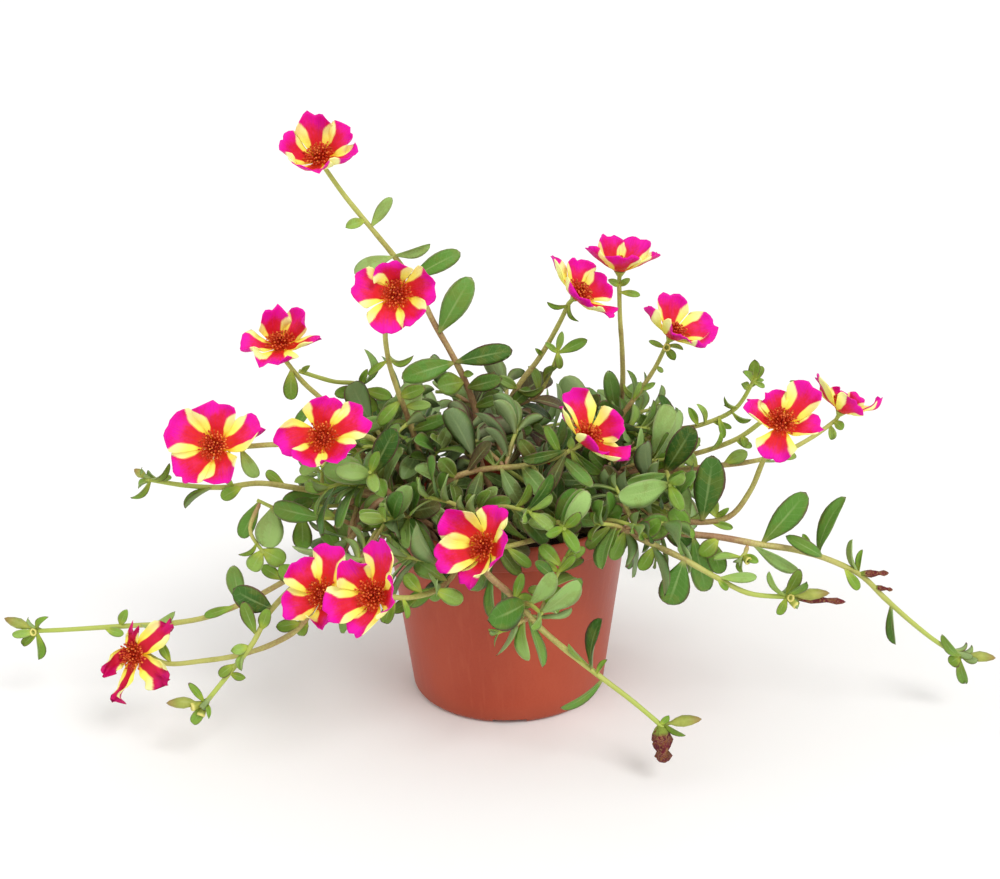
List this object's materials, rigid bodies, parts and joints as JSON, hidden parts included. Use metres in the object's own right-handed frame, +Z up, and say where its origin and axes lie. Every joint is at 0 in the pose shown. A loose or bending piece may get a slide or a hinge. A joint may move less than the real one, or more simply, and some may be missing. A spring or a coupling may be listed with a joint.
{
  "type": "potted portulaca",
  "caption": "Flowering portulaca with leafy upright and trailing stems and cup-shaped two-coloured blooms, growing in a round plastic pot of soil.",
  "frame": {"origin": "middle of the pot's underside, on the plane that the pot stands on", "axes": "+Z up along the pot's axis, -Y towards the plant's front, +X to the viewer's right along its longest spread"},
  "size_m": [0.4635, 0.2684, 0.2785],
  "materials": {
    "pot": "terracotta-coloured injection-moulded plastic with a slight sheen",
    "soil": "dark crumbly potting soil",
    "foliage": "smooth fleshy leaves and stems, mid green with purple-brown edges",
    "petals": "satin petals, magenta with a yellow stripe at each side",
    "stamens": "matt dark red filaments with orange tips"
  },
  "bodies": {
    "root": {"back_left": "foliage", "back_middle": "foliage", "back_right": "foliage", "petals_1": "petals", "petals_10": "petals", "petals_11": "petals", "petals_12": "petals", "petals_13": "petals", "petals_14": "petals", "petals_15": "petals", "petals_2": "petals", "petals_3": "petals", "petals_4": "petals", "petals_5": "petals", "petals_6": "petals", "petals_7": "petals", "petals_8": "petals", "petals_9": "petals", "pot": "pot", "soil": "soil", "spray_high_left": "foliage", "spray_right_back": "foliage", "spray_right_top": "foliage", "stamens_1": "stamens", "stamens_10": "stamens", "stamens_11": "stamens", "stamens_12": "stamens", "stamens_13": "stamens", "stamens_14": "stamens", "stamens_15": "stamens", "stamens_2": "stamens", "stamens_3": "stamens", "stamens_4": "stamens", "stamens_5": "stamens", "stamens_6": "stamens", "stamens_7": "stamens", "stamens_8": "stamens", "stamens_9": "stamens", "stem_1": "foliage", "stem_10": "foliage", "stem_11": "foliage", "stem_12": "foliage", "stem_13": "foliage", "stem_14": "foliage", "stem_15": "foliage", "stem_2": "foliage", "stem_3": "foliage", "stem_4": "foliage", "stem_5": "foliage", "stem_6": "foliage", "stem_7": "foliage", "stem_8": "foliage", "stem_9": "foliage", "trail_front": "foliage", "trail_left_long": "foliage", "trail_left_mid": "foliage", "trail_low_left": "foliage", "trail_right_long": "foliage", "trail_right_low": "foliage"}
  },
  "joints": []
}
